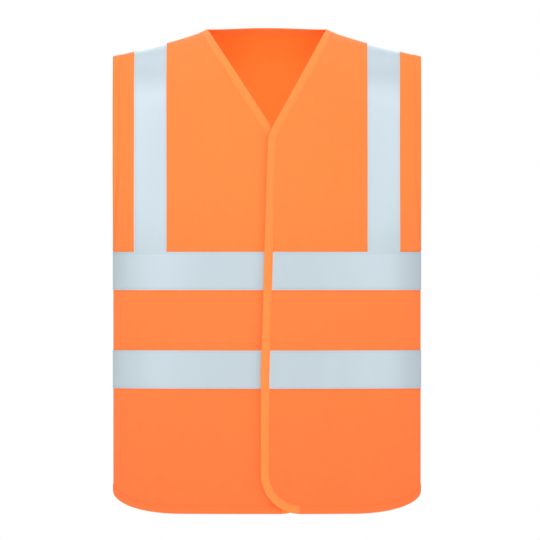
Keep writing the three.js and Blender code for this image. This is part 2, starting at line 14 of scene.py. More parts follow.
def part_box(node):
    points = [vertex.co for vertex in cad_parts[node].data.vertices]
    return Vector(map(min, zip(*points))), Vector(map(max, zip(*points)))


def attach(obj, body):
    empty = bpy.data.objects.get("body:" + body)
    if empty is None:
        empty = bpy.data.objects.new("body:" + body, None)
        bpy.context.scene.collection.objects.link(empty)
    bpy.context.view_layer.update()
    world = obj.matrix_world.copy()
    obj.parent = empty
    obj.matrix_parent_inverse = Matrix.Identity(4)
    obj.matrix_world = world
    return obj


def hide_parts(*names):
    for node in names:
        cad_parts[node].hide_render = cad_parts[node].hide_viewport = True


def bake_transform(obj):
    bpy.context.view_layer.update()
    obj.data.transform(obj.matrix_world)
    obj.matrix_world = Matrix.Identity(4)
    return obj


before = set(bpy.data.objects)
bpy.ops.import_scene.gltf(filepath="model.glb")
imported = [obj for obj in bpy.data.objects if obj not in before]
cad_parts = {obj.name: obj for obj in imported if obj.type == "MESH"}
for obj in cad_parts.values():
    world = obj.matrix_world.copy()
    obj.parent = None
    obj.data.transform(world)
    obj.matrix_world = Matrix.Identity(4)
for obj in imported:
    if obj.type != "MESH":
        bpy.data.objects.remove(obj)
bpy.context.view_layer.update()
bpy.ops.object.select_all(action="DESELECT")

# %% [markdown]
# ## Sizes
# Everything is worked out in millimetres, with heights measured up from the hem, and turned into
# metres when a mesh is made. The half width, the neck height, the back's depth and the places of the
# tapes are read from the frame's boxes. The body's other sizes are repeated from the CAD. The plies
# are thinner than the CAD's, as real cloth and tape are.

# %% Sizes of the body
back_low, back_high = (Vector(corner) * 1000 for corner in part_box("back_panel"))
tape_low, tape_high = (Vector(corner) * 1000 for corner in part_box("back_upper_tape"))
lower_low, lower_high = (Vector(corner) * 1000 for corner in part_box("back_lower_tape"))
brace_low, brace_high = (Vector(corner) * 1000 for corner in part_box("left_back_brace_tape"))

PLY = 0.9
HALF_WIDTH = (back_high.x - back_low.x) / 2 - 0.8 * PLY
NECK_HEIGHT = -back_low.z
BACK_DEPTH = back_high.y - PLY
FRONT_DEPTH = 110.0
NECK_HALF_WIDTH = 78.0
SHOULDER_DROP = 35.0
SHOULDER_CURVE = 0.82
SHOULDER_ROLL = 80.0
NECK_RISE = 39.0
NAPE_RISE = 3.0
UNDERARM_HEIGHT = 340.0
ARMHOLE_SWELL = 120.0
ARMHOLE_HALF_DEPTH = 45.0
HEM_RISE = 28.0
HEM_RISE_RUN = 86.0
OVERLAP_LIFT = 4.0
LIFT_FROM, LIFT_TO = 60.0, 100.0
LIFT_BELOW_NECK = 110.0
FRONT, BACK = -1, 1
print(f"half width {HALF_WIDTH:.1f}, back depth {BACK_DEPTH:.1f}, neck {NECK_HEIGHT:.1f} mm")

# %% Sizes of what is sewn on
UPPER_TAPE = (tape_low.z + NECK_HEIGHT, tape_high.z + NECK_HEIGHT)
LOWER_TAPE = (lower_low.z + NECK_HEIGHT, lower_high.z + NECK_HEIGHT)
BRACE = (brace_low.x, brace_high.x)
BINDING_WIDTH = 10.0
CLOTH_THICK = 0.45
TAPE_THICK = 0.3
PLY_GAP = 0.08
BRACE_DEPTH = CLOTH_THICK + PLY_GAP
BAND_DEPTH = BRACE_DEPTH + TAPE_THICK + PLY_GAP
BINDING_THICK = 0.4
FOLD_GAP = 0.06
STITCH_LENGTH = 2.5
STITCH_PITCH = 3.4
STITCH_INSET = 2
print(f"upper tape {UPPER_TAPE[0]:.0f} to {UPPER_TAPE[1]:.0f} mm, brace {BRACE[0]:.0f} to {BRACE[1]:.0f}")

# %% [markdown]
# ## The form of the body
# A vest has no shape of its own, so the cloth takes the shape of the form inside it. One rule
# gives every point of that form: phi goes round the body from side seam to side seam, and climb
# runs up it and over the roll of the shoulder. All the plies are laid on this one rule, so they
# stay parallel, and a ply is only a depth above it.

# %% The ridge, the hem and the armhole
def clamp01(value):
    return min(1.0, max(0.0, value))


def smooth(value):
    value = clamp01(value)
    return value * value * (3 - 2 * value)


def ridge(x):
    away = abs(x)
    if away < NECK_HALF_WIDTH:
        return NECK_HEIGHT + NECK_RISE * (1 + math.cos(math.pi * away / NECK_HALF_WIDTH)) / 2
    along = (away - NECK_HALF_WIDTH) / (HALF_WIDTH - NECK_HALF_WIDTH)
    return NECK_HEIGHT - SHOULDER_DROP * clamp01(along) ** SHOULDER_CURVE


def hem(x):
    run = clamp01((abs(x) - HALF_WIDTH + HEM_RISE_RUN) / HEM_RISE_RUN)
    return HEM_RISE * (1 - math.sqrt(1 - run**2))


def lift(x, height):
    """The top front stands off the under front, but not at the shoulder, where both are sewn."""
    sideways = 1 - smooth((x - LIFT_FROM) / (LIFT_TO - LIFT_FROM))
    return OVERLAP_LIFT * sideways * smooth((NECK_HEIGHT - height) / LIFT_BELOW_NECK)


# %% A point of the form, and its outward direction
def form_point(side, phi, climb):
    x = HALF_WIDTH * math.sin(phi)
    roll_start = ridge(x) - SHOULDER_ROLL
    turn = max(0.0, (climb - roll_start) / SHOULDER_ROLL)
    height = roll_start + SHOULDER_ROLL * math.sin(turn) if turn > 0 else climb
    swell = clamp01((height - UNDERARM_HEIGHT) / ARMHOLE_SWELL)
    edge = ARMHOLE_HALF_DEPTH * (1 - (1 - swell) ** 2)
    bulge = math.copysign(abs(math.cos(phi)) ** (1 + 0.8 * smooth(swell)), math.cos(phi))
    depth = FRONT_DEPTH if side == FRONT else BACK_DEPTH
    return Vector((x, side * (edge + (depth - edge) * bulge) * math.cos(turn), height))


def form_normal(side, phi, climb):
    step = math.radians(0.5)
    centre = max(math.radians(-88), min(math.radians(88), phi))
    across = form_point(side, centre + step, climb) - form_point(side, centre - step, climb)
    up = form_point(side, centre, climb + 0.5) - form_point(side, centre, climb - 0.5)
    return (across.cross(up) * -side).normalized()


def ridge_climb(x):
    return ridge(x) - SHOULDER_ROLL + SHOULDER_ROLL * math.pi / 2


def climb_at(x, height):
    roll_start = ridge(x) - SHOULDER_ROLL
    if height <= roll_start:
        return height
    return roll_start + SHOULDER_ROLL * math.asin(min(1, (height - roll_start) / SHOULDER_ROLL))


print("front at the middle of the chest:", [round(v) for v in form_point(FRONT, 0, 400)])

# %% [markdown]
# ## Drape
# Light knitted cloth on a form is nearly smooth, but never dead flat. It lies in long shallow
# swells that run down from the chest, with smaller ones that grow a little towards the hem. Two
# noise fields, both stretched along the height, give them. They move every ply alike, so a tape
# never sinks into the cloth it is sewn to, and they fade out at the ridge and the side seams.

# %% The drape of the cloth
SLOW_SWELL, QUICK_SWELL, HEM_SWELL = 2.3, 0.5, 0.9


def drape(side, point):
    seed = Vector((11.0, 3.0, 7.0)) * side
    slow = noise.noise(Vector((point.x / 62, point.z / 260, 0)) + seed)
    quick = noise.noise(Vector((point.x / 27, point.z / 150, 4)) + seed)
    low = 1 - smooth((point.z - 120) / 260)
    calm = smooth((ridge(point.x) - point.z) / 90)
    edge = smooth((HALF_WIDTH - abs(point.x)) / 25)
    return (SLOW_SWELL * slow + (QUICK_SWELL + HEM_SWELL * low) * quick) * calm * edge


def cloth_point(side, phi, climb, depth, lifted=False):
    base = form_point(side, phi, climb)
    out = depth + drape(side, base) + (lift(base.x, base.z) if lifted else 0)
    return base + form_normal(side, phi, climb) * out


print("drape at the hem:", round(drape(FRONT, Vector((60, 0, 20))), 2), "mm")

# %% [markdown]
# ## Where the edges run
# A cut edge is a line on the cloth. The neck edge of a front runs straight from the shoulder down
# to the V, bends, and goes on as the front edge to a round corner and along the hem. The left front
# laps on top. The same line later cuts the panel, guides the binding and carries the stitches, so
# each edge is a function that is written once.

# %% The edges of the two fronts
V_POINT = (6.5, 497.0)
TOP_EDGE = {"hand": 1, "x": -7.0, "bend_x": 1.5, "bend": 470.0, "straight": 180.0, "corner": 50.0}
UNDER_EDGE = {"hand": -1, "x": 58.0, "bend_x": 47.0, "bend": 420.0, "straight": 150.0, "corner": 40.0}


def bend_points(edge):
    hand = edge["hand"]
    slope = (NECK_HEIGHT - V_POINT[1]) / (hand * NECK_HALF_WIDTH - V_POINT[0])
    start_x = edge["bend_x"] + hand * 6
    start = Vector((start_x, V_POINT[1] + (start_x - V_POINT[0]) * slope))
    knee = Vector((edge["bend_x"], V_POINT[1] + (edge["bend_x"] - V_POINT[0]) * slope))
    end = Vector((edge["bend_x"], edge["bend"]))
    steps = [step / 8 for step in range(9)]
    return [start * (1 - t) ** 2 + knee * 2 * t * (1 - t) + end * t * t for t in steps]


def front_line(edge):
    neck = Vector((edge["hand"] * NECK_HALF_WIDTH, NECK_HEIGHT))
    bend = bend_points(edge)
    low = [Vector((edge["x"], edge["straight"])), Vector((edge["x"], edge["corner"]))]
    return [neck, *bend, *low]


def edge_x(edge, height):
    line = front_line(edge)
    for above, below in zip(line, line[1:]):
        if below.y <= height <= above.y:
            share = (height - below.y) / max(1e-6, above.y - below.y)
            return below.x + (above.x - below.x) * share
    return line[0].x if height > line[0].y else line[-1].x


def bottom_height(x, edge=None):
    if edge is None:
        return hem(x)
    inside = clamp01((x - edge["x"]) * edge["hand"] / edge["corner"])
    corner = edge["corner"] * (1 - math.sqrt(1 - (1 - inside) ** 2))
    return max(hem(x), corner)


print("top edge at the chest:", round(edge_x(TOP_EDGE, 400), 1), "mm")

# %% [markdown]
# ## From grids to cloth
# A ply is a sheet with two faces and a thin rim. It is built as a grid of places on the form,
# taken at two depths and closed round the edge. The grid also gives the sheet its own map in
# metres, across and up the cloth, so that a knit or a weave follows the surface at its true scale.

# %% The mesh of a ply
def new_object(name, verts, faces, uvs=None):
    mesh = bpy.data.meshes.new(name)
    mesh.from_pydata([vert / 1000 - Vector((0, 0, NECK_HEIGHT / 1000)) for vert in verts], [], faces)
    if uvs is not None:
        layer = mesh.uv_layers.new(name="cloth_map")
        for loop in mesh.loops:
            layer.data[loop.index].uv = uvs[loop.vertex_index]
    mesh.validate()
    piece = bpy.data.objects.new(name, mesh)
    bpy.context.scene.collection.objects.link(piece)
    return piece


def smooth_faces(piece, angle=40):
    bpy.ops.object.select_all(action="DESELECT")
    bpy.context.view_layer.objects.active = piece
    piece.select_set(True)
    bpy.ops.object.shade_smooth_by_angle(angle=math.radians(angle))
    piece.select_set(False)


def recalculate(piece):
    bpy.ops.object.select_all(action="DESELECT")
    bpy.context.view_layer.objects.active = piece
    piece.select_set(True)
    bpy.ops.object.mode_set(mode="EDIT")
    bpy.ops.mesh.select_all(action="SELECT")
    bpy.ops.mesh.normals_make_consistent(inside=False)
    bpy.ops.object.mode_set(mode="OBJECT")
    piece.select_set(False)


# %% A ply from two grids, closed round its edge
def ply_object(name, outer, inner, uvs):
    rows, columns = len(outer), len(outer[0])
    verts = [vert for row in outer for vert in row] + [vert for row in inner for vert in row]
    maps = [uv for row in uvs for uv in row] * 2
    first = rows * columns

    def quads(row, column):
        a, b = row * columns + column, row * columns + column + 1
        c, d = b + columns, a + columns
        return (a, b, c, d), (first + a, first + d, first + c, first + b)

    faces = [face for row in range(rows - 1) for col in range(columns - 1) for face in quads(row, col)]
    rim = [row * columns for row in range(rows - 1, -1, -1)]
    rim += list(range(1, columns))
    rim += [row * columns + columns - 1 for row in range(1, rows)]
    rim += list(range(first - 2, first - columns, -1))
    faces += [(a, first + a, first + b, b) for a, b in zip(rim, rim[1:] + rim[:1])]
    middle = outer[rows // 2][columns // 2]
    right = outer[rows // 2][columns // 2 + 1] - middle
    up = outer[rows // 2 + 1][columns // 2] - middle
    if right.cross(up).dot(middle - inner[rows // 2][columns // 2]) < 0:
        faces = [face[::-1] for face in faces]
    piece = new_object(name, verts, faces, maps)
    smooth_faces(piece)
    return piece


# %% A sheet laid on the form, row by row
def lay_sheet(name, side, rows, depth, thick, lifted=False):
    """rows hold (phi, climb) places. The sheet's inner face lies at depth."""
    outer = [[cloth_point(side, phi, climb, depth + thick, lifted) for phi, climb in row] for row in rows]
    inner = [[cloth_point(side, phi, climb, depth, lifted) for phi, climb in row] for row in rows]
    uvs = []
    for row in inner:
        across = [0.0]
        for here, after in zip(row, row[1:]):
            across.append(across[-1] + (after - here).length / 1000)
        middle = across[len(across) // 2]
        uvs.append([(value - middle, 0.0) for value in across])
    up = 0.0
    for index, row in enumerate(inner):
        if index:
            up += (row[len(row) // 2] - inner[index - 1][len(row) // 2]).length / 1000
        uvs[index] = [(u, up) for u, _ in uvs[index]]
    return ply_object(name, outer, inner, uvs)


# %% [markdown]
# ## The three cloth panels
# Each panel is cut as one piece. Its rows follow the hem at the bottom, level out on the way up
# and run over the shoulder to the seam at the top. Where two panels are sewn, their edges meet on
# the form, and the seam allowance that joins them inside is made later.

# %% Rows of a panel
BODY_ROWS, CHEST_ROWS, ROLL_ROWS = 46, 32, 22


def row_rules():
    rules = [("low", row / BODY_ROWS) for row in range(BODY_ROWS)]
    rules += [("chest", row / CHEST_ROWS) for row in range(CHEST_ROWS)]
    rules += [("roll", row / ROLL_ROWS) for row in range(ROLL_ROWS + 1)]
    return rules


def row_height(rule, x, bottom):
    kind, share = rule
    roll_start = ridge(x) - SHOULDER_ROLL
    if kind == "low":
        return bottom + (UNDERARM_HEIGHT - bottom) * share
    if kind == "chest":
        return UNDERARM_HEIGHT + (roll_start - UNDERARM_HEIGHT) * share
    return roll_start + SHOULDER_ROLL * math.sin(share * math.pi / 2)


def row_climb(rule, x, bottom):
    kind, share = rule
    if kind == "roll":
        return ridge(x) - SHOULDER_ROLL + SHOULDER_ROLL * share * math.pi / 2
    return row_height(rule, x, bottom)


def row_edge_x(rule, edge):
    """The x at which a row meets the front edge or the neck, found by halving. The under front
    reaches up to 58 mm past the middle, so its search starts at 60."""
    if rule[0] == "low":
        bottom = edge["corner"]
        return edge_x(edge, row_height(rule, edge["x"], bottom))
    hand = edge["hand"]
    low, high = -10.0 * hand, NECK_HALF_WIDTH * hand
    if hand < 0:
        low = 60.0
    for _ in range(40):
        middle = (low + high) / 2
        if (middle - edge_x(edge, row_height(rule, middle, 0))) * hand < 0:
            low = middle
        else:
            high = middle
    return (low + high) / 2


def front_rows(edge, columns=84):
    hand = edge["hand"]
    rows = []
    for rule in row_rules():
        start = math.asin(row_edge_x(rule, edge) / HALF_WIDTH)
        end = hand * math.pi / 2
        row = []
        for column in range(columns + 1):
            share = column / columns
            share = smooth(share) * 0.9 + share * 0.1
            phi = start + (end - start) * share
            x = HALF_WIDTH * math.sin(phi)
            row.append((phi, row_climb(rule, x, bottom_height(x, edge))))
        rows.append(row)
    return rows


# %% Rows of the back, whose top is the neck edge
def back_top_climb(x):
    if abs(x) >= NECK_HALF_WIDTH:
        return ridge_climb(x)
    nape = NECK_HEIGHT + NAPE_RISE * (1 - (x / NECK_HALF_WIDTH) ** 2) ** 2
    return climb_at(x, nape)


def back_rows(columns=110):
    rows = []
    for kind, share in row_rules():
        row = []
        for column in range(columns + 1):
            phi = math.pi / 2 * (2 * column / columns - 1)
            x = HALF_WIDTH * math.sin(phi)
            if kind == "low":
                climb = row_climb((kind, share), x, hem(x))
            else:
                rung = share * CHEST_ROWS if kind == "chest" else CHEST_ROWS + share * ROLL_ROWS
                rung /= CHEST_ROWS + ROLL_ROWS
                climb = UNDERARM_HEIGHT + (back_top_climb(x) - UNDERARM_HEIGHT) * rung
            row.append((phi, climb))
        rows.append(row)
    return rows


# %% Lay the panels
back_cloth = lay_sheet("back_cloth", BACK, back_rows(), 0.0, CLOTH_THICK)
right_cloth = lay_sheet("right_front_cloth", FRONT, front_rows(UNDER_EDGE), 0.0, CLOTH_THICK)
left_cloth = lay_sheet("left_front_cloth", FRONT, front_rows(TOP_EDGE), 0.0, CLOTH_THICK, lifted=True)
for cloth in (back_cloth, right_cloth, left_cloth):
    print(cloth.name, len(cloth.data.polygons), "faces")

# %% [markdown]
# ## Reflective tape
# The silver tape is a woven backing with glass beads, about 50 mm wide, stitched flat on the cloth.
# The two bands go round the body and their ends are caught under the front binding and in the side
# seams. The brace tapes go on first, from the shoulder seam down, and their lower ends are tucked
# under the upper band, so they lie one ply deeper.

# %% Rows of a band and of a brace
def band_rows(low, high, edge=None, tucked=4.0, columns=90):
    rows = []
    count = 8
    for index in range(count + 1):
        height = low + (high - low) * index / count
        if edge is None:
            start, end = -math.pi / 2, math.pi / 2
        else:
            hand = edge["hand"]
            start = math.asin((edge_x(edge, height) + hand * tucked) / HALF_WIDTH)
            end = hand * math.pi / 2
        places = [start + (end - start) * column / columns for column in range(columns + 1)]
        rows.append([(phi, height) for phi in places])
    return rows


def brace_rows(hand, low, columns=10, count=60):
    rows = []
    for index in range(count + 1):
        row = []
        for column in range(columns + 1):
            x = hand * (BRACE[0] + (BRACE[1] - BRACE[0]) * column / columns)
            climb = low + (ridge_climb(x) - low) * index / count
            row.append((math.asin(x / HALF_WIDTH), climb))
        rows.append(row)
    return rows


# %% Lay the tapes
tapes = {}
for level, (low, high) in {"upper": UPPER_TAPE, "lower": LOWER_TAPE}.items():
    tapes[f"back_{level}"] = lay_sheet(
        f"back_{level}_reflective", BACK, band_rows(low, high), BAND_DEPTH, TAPE_THICK)
    tapes[f"right_{level}"] = lay_sheet(
        f"right_{level}_reflective", FRONT, band_rows(low, high, UNDER_EDGE),
        BAND_DEPTH, TAPE_THICK)
    tapes[f"left_{level}"] = lay_sheet(
        f"left_{level}_reflective", FRONT, band_rows(low, high, TOP_EDGE),
        BAND_DEPTH, TAPE_THICK, lifted=True)
BRACE_LOW = UPPER_TAPE[1] - 8
for name, hand in {"right": -1, "left": 1}.items():
    tapes[f"{name}_front_brace"] = lay_sheet(
        f"{name}_front_brace_reflective", FRONT, brace_rows(hand, BRACE_LOW),
        BRACE_DEPTH, TAPE_THICK, lifted=hand > 0)
    tapes[f"{name}_back_brace"] = lay_sheet(
        f"{name}_back_brace_reflective", BACK, brace_rows(hand, BRACE_LOW), BRACE_DEPTH, TAPE_THICK)
print(len(tapes), "tapes")

# %% [markdown]
# ## Folded binding
# The neck and the front edges are finished with a strip of knitted tape, folded over the edge and
# sewn through. The hem and the armholes have the same fold, in the cloth itself. Both are a sweep:
# one folded profile carried along the edge. At each stop the profile needs to know which way is
# inwards along the cloth and which way is out of it. Where a band of silver tape runs under the
# fold, its outer leaf rides up over it.

# %% Steps along the cloth from its edge
def walk(side, place, direction, distance, steps=4):
    phi, climb = place
    small = 1e-3
    for _ in range(steps):
        here = form_point(side, phi, climb)
        across = (form_point(side, phi + small, climb) - here) / small
        up = (form_point(side, phi, climb + small) - here) / small
        aa, au, uu = across.dot(across), across.dot(up), up.dot(up)
        a = across.dot(direction) * distance / steps
        u = up.dot(direction) * distance / steps
        det = aa * uu - au * au
        phi += (a * uu - u * au) / det
        climb += (u * aa - a * au) / det
    return phi, climb


STEP_IN = 2.5
STEPS_IN = tuple(STEP_IN * step for step in range(5))


def edge_stops(side, places):
    """Each stop is a list of (distance in, place on the form), and the way out past the edge."""
    spots = [form_point(side, *place) for place in places]
    stops = []
    for index, place in enumerate(places):
        before, after = spots[max(0, index - 1)], spots[min(len(spots) - 1, index + 1)]
        inward = form_normal(side, *place).cross(after - before).normalized()
        stops.append((side, [walk(side, place, inward, step) for step in STEPS_IN], -inward))
    return stops


def armhole_stops(side, hand, climbs):
    """Stops up an armhole, measured in from its edge along each row."""
    stops = []
    for climb in climbs:
        edge = form_point(side, hand * math.pi / 2, climb)
        places = []
        for step in STEPS_IN:
            near, far = 0.0, math.radians(40)
            for _ in range(30):
                middle = (near + far) / 2
                reached = form_point(side, hand * (math.pi / 2 - middle), climb)
                near, far = (middle, far) if (reached - edge).length < step else (near, middle)
            places.append((hand * (math.pi / 2 - near), climb))
        out = (edge - form_point(side, *places[1])).normalized()
        stops.append((side, places, out))
    return stops


# %% A point of the fold, and how it climbs over a band
BAND_MARGIN = 3


def tape_rise(point):
    """How much higher the binding lies where a silver band runs under it."""
    rise = BAND_DEPTH + TAPE_THICK - CLOTH_THICK
    for low, high in (UPPER_TAPE, LOWER_TAPE):
        if low - BAND_MARGIN < point.z < high + BAND_MARGIN:
            inside = min(point.z - low + BAND_MARGIN, high + BAND_MARGIN - point.z)
            return rise * smooth(inside / BAND_MARGIN)
    return 0.0


def profile_point(stop, distance, depth, lifted):
    side, places, out = stop
    if distance <= 0:
        return cloth_point(side, *places[0], depth, lifted) - out * distance
    index = min(len(STEPS_IN) - 2, int(distance / STEP_IN))
    share = distance / STEP_IN - index
    (phi_a, climb_a), (phi_b, climb_b) = places[index], places[index + 1]
    phi, climb = phi_a + (phi_b - phi_a) * share, climb_a + (climb_b - climb_a) * share
    return cloth_point(side, phi, climb, depth, lifted)


# %% The profile, and its sweep along an edge
def folded_profile(rise):
    top = CLOTH_THICK + FOLD_GAP + rise
    low = -FOLD_GAP
    thick = BINDING_THICK
    middle = (top + low) / 2
    leaf_top = [(10, top + thick * 0.8), (9.6, top + thick), (8, top + thick * 0.85),
                (5, top + thick * 1.25), (2, top + thick * 1.2), (0, top + thick)]
    web = [(-0.65, top + thick * 0.45), (-0.95, middle), (-0.65, low - thick * 0.45)]
    leaf_low = [(0, low - thick), (2, low - thick * 1.15), (5, low - thick * 1.2),
                (8, low - thick * 0.85), (9.6, low - thick), (10, low - thick * 0.8)]
    inside = [(10, low), (5, low), (0.2, low), (-0.45, middle), (0.2, top), (5, top), (10, top)]
    return leaf_top + web + leaf_low + inside


def sweep_binding(name, stops, lifted=False):
    verts, uvs, faces = [], [], []
    along = 0.0
    previous = None
    for stop in stops:
        base = form_point(stop[0], *stop[1][0])
        along += (base - previous).length / 1000 if previous else 0.0
        previous = base
        profile = folded_profile(tape_rise(form_point(stop[0], *stop[1][2])))
        across = 0.0
        for index, (distance, depth) in enumerate(profile):
            if index:
                across += math.dist(profile[index - 1], (distance, depth)) / 1000
            verts.append(profile_point(stop, distance, depth, lifted))
            uvs.append((across, along))
    count = len(profile)
    for row in range(len(stops) - 1):
        for index in range(count):
            after = (index + 1) % count
            a, b = row * count + index, row * count + after
            faces.append((a, b, b + count, a + count))
    faces.append(tuple(range(count - 1, -1, -1)))
    faces.append(tuple(range((len(stops) - 1) * count, len(stops) * count)))
    piece = new_object(name, verts, faces, uvs)
    recalculate(piece)
    smooth_faces(piece, 60)
    return piece, along


# %% Bind the fronts, the back and the armholes
def front_places(edge):
    rows = front_rows(edge)
    places = [row[0] for row in reversed(rows)] + rows[0][1:]
    return places if edge["hand"] > 0 else places[::-1]


def armhole_climbs():
    rules = [rule for rule in row_rules() if rule[0] != "low"]
    return [row_climb(rule, HALF_WIDTH, 0) for rule in rules]


back_grid = back_rows()
neck_places = [
    place for place in back_grid[-1] if abs(HALF_WIDTH * math.sin(place[0])) < NECK_HALF_WIDTH]
neck_end = (math.asin(NECK_HALF_WIDTH / HALF_WIDTH), ridge_climb(NECK_HALF_WIDTH))
neck_places = [(-neck_end[0], neck_end[1]), *neck_places, neck_end]
stops = {
    "right_front": edge_stops(FRONT, front_places(UNDER_EDGE)),
    "left_front": edge_stops(FRONT, front_places(TOP_EDGE)),
    "back_neck": edge_stops(BACK, neck_places),
    "back_hem": edge_stops(BACK, back_grid[0][::-1]),
}
for name, hand in {"right": -1, "left": 1}.items():
    climbs = armhole_climbs()
    up_front = armhole_stops(FRONT, hand, climbs)
    down_back = armhole_stops(BACK, hand, climbs[:-1][::-1])
    stops[f"{name}_armhole"] = up_front + down_back
bindings, lengths = {}, {}
for name, path in stops.items():
    made = sweep_binding(f"{name}_edge_binding", path, lifted=name == "left_front")
    bindings[name], lengths[name] = made
    print(f"{name} binding, {lengths[name]:.2f} m")

# %% [markdown]
# ## Seams
# Inside, the cut edges of two panels are sewn together and oversewn, which leaves a narrow strip
# lying over each shoulder and down each side. It is laid like the tapes, at a depth inside the
# cloth, front half and back half together.

# %% Seam allowances
SEAM_DEPTH = -0.75
SEAM_REACH = 5.0
SEAM_TURN = math.radians(4.0)


def shoulder_strip_rows(hand):
    rows = []
    for index in range(25):
        x = hand * (NECK_HALF_WIDTH + 13 + (HALF_WIDTH - NECK_HALF_WIDTH - 26) * index / 24)
        phi = math.asin(x / HALF_WIDTH)
        rows.append([(phi, ridge_climb(x) - SEAM_REACH * (1 - step / 4)) for step in range(5)])
    return rows


def side_strip_rows(hand):
    rows = []
    for index in range(31):
        climb = HEM_RISE + 12 + (UNDERARM_HEIGHT - HEM_RISE - 14) * index / 30
        turns = [SEAM_TURN * (1 - step / 4) for step in range(5)]
        rows.append([(hand * (math.pi / 2 - turn), climb) for turn in turns])
    return rows


def lay_seam(name, rows, thick=0.5):
    outer, inner, uvs = [], [], []
    for row_index, row in enumerate(rows):
        across = [(FRONT, place) for place in row] + [(BACK, place) for place in row[:-1][::-1]]
        outer.append([cloth_point(side, *place, SEAM_DEPTH + thick) for side, place in across])
        inner.append([cloth_point(side, *place, SEAM_DEPTH) for side, place in across])
        uvs.append([(0.002 * index, 0.004 * row_index) for index in range(len(across))])
    return ply_object(name, outer, inner, uvs)


seams = {}
for name, hand in {"right": -1, "left": 1}.items():
    seams[f"{name}_shoulder"] = lay_seam(f"{name}_shoulder_allowance", shoulder_strip_rows(hand))
    seams[f"{name}_side"] = lay_seam(f"{name}_side_allowance", side_strip_rows(hand))
print(len(seams), "seam allowances")

# %% [markdown]
# ## Stitches
# A lockstitch shows as a row of short thread grains, half sunk in the cloth and narrow at both
# ends. One grain is modelled from a small sphere, and each row is that grain copied along its
# line, turned to follow it. A grain has only a few faces, because there are thousands.

# %% One grain of thread
bpy.ops.object.select_all(action="DESELECT")
bpy.ops.mesh.primitive_uv_sphere_add(segments=6, ring_count=4, radius=0.5, location=(0, 0, 0))
grain = bpy.context.object
bpy.ops.object.mode_set(mode="EDIT")
bpy.ops.mesh.select_all(action="SELECT")
bpy.ops.transform.rotate(value=math.pi / 2, orient_axis="Y", center_override=(0, 0, 0))
bpy.ops.transform.resize(value=(STITCH_LENGTH, 0.55, 0.4))
bpy.ops.object.mode_set(mode="OBJECT")
GRAIN_VERTS = [vert.co.copy() for vert in grain.data.vertices]
GRAIN_FACES = [tuple(face.vertices) for face in grain.data.polygons]
bpy.data.objects.remove(grain)
print("one stitch:", len(GRAIN_FACES), "faces")


# %% Rows of stitches
def sew(name, lines):
    """lines are lists of (point, outward direction) in millimetres."""
    verts, faces = [], []
    for line in lines:
        travelled, due = 0.0, STITCH_PITCH / 2
        for (here, out), (after, _) in zip(line, line[1:]):
            span = (after - here).length
            while span > 1e-6 and travelled + span >= due:
                spot = here.lerp(after, (due - travelled) / span)
                along = (after - here).normalized()
                across = out.cross(along).normalized()
                first = len(verts)
                verts += [spot + along * v.x + across * v.y + out * v.z for v in GRAIN_VERTS]
                faces += [tuple(first + index for index in face) for face in GRAIN_FACES]
                due += STITCH_PITCH
            travelled += span
    piece = new_object(name, verts, faces)
    recalculate(piece)
    smooth_faces(piece, 180)
    return piece


def line_on(side, places, depth, lifted=False):
    return [(cloth_point(side, *place, depth, lifted), form_normal(side, *place)) for place in places]


def binding_line(path, lifted):
    line = []
    for stop in path:
        rise = tape_rise(form_point(stop[0], *stop[1][2]))
        depth = CLOTH_THICK + FOLD_GAP + rise + BINDING_THICK
        line.append((profile_point(stop, 8.2, depth, lifted), form_normal(stop[0], *stop[1][3])))
    return line


def band_lines(side, low, high, edge=None, lifted=False):
    top = BAND_DEPTH + TAPE_THICK
    heights = (low + STITCH_INSET, high - STITCH_INSET)
    rows = [band_rows(height, height + 0.01, edge, tucked=12)[0] for height in heights]
    return [line_on(side, row, top, lifted) for row in rows]


def brace_lines(side, hand, lifted=False):
    top = BRACE_DEPTH + TAPE_THICK
    rows = brace_rows(hand, UPPER_TAPE[1] + STITCH_INSET, columns=21)
    return [line_on(side, [row[column] for row in rows], top, lifted) for column in (1, 20)]


# %% Sew the bindings and the tapes
stitches = {}
for name, path in stops.items():
    row = binding_line(path, name == "left_front")
    stitches[f"{name}_binding"] = sew(f"{name}_binding_stitches", [row])
band_heights = (UPPER_TAPE, LOWER_TAPE)
stitches["right_tape"] = sew("right_front_tape_stitches", [
    line for low, high in band_heights for line in band_lines(FRONT, low, high, UNDER_EDGE)])
stitches["left_tape"] = sew("left_front_tape_stitches", [
    line for low, high in band_heights for line in band_lines(FRONT, low, high, TOP_EDGE, lifted=True)])
stitches["back_tape"] = sew("back_tape_stitches", [
    line for low, high in band_heights for line in band_lines(BACK, low, high)])
stitches["brace"] = sew("brace_tape_stitches", [
    line for hand in (-1, 1) for side in (FRONT, BACK)
    for line in brace_lines(side, hand, lifted=side == FRONT and hand > 0)])
print("stitch faces:", sum(len(piece.data.polygons) for piece in stitches.values()))

# %% [markdown]
# ## Touch fasteners
# Three pairs of strips close the front. The loop half is a soft brushed pile on the outside of the
# under front, and the hook half is a woven ground with rows of stiff hooks on the inside of the top
# front. Each is a ply on the form, with small bent prongs standing on it for the pile or the hooks.

# %% The strips and their pile
STRIP_THICK, HOOK_DEPTH = 0.5, -0.6
strip_boxes = {level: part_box(f"{level}_loop_strip") for level in ("upper", "middle", "lower")}


def strip_rows(low, high, columns=10, count=24, inset=0.0):
    rows = []
    for index in range(count + 1):
        height = (low.z + inset) + (high.z - low.z - 2 * inset) * index / count
        xs = [(low.x + inset) + (high.x - low.x - 2 * inset) * c / columns for c in range(columns + 1)]
        rows.append([(math.asin(x / HALF_WIDTH), height) for x in xs])
    return rows


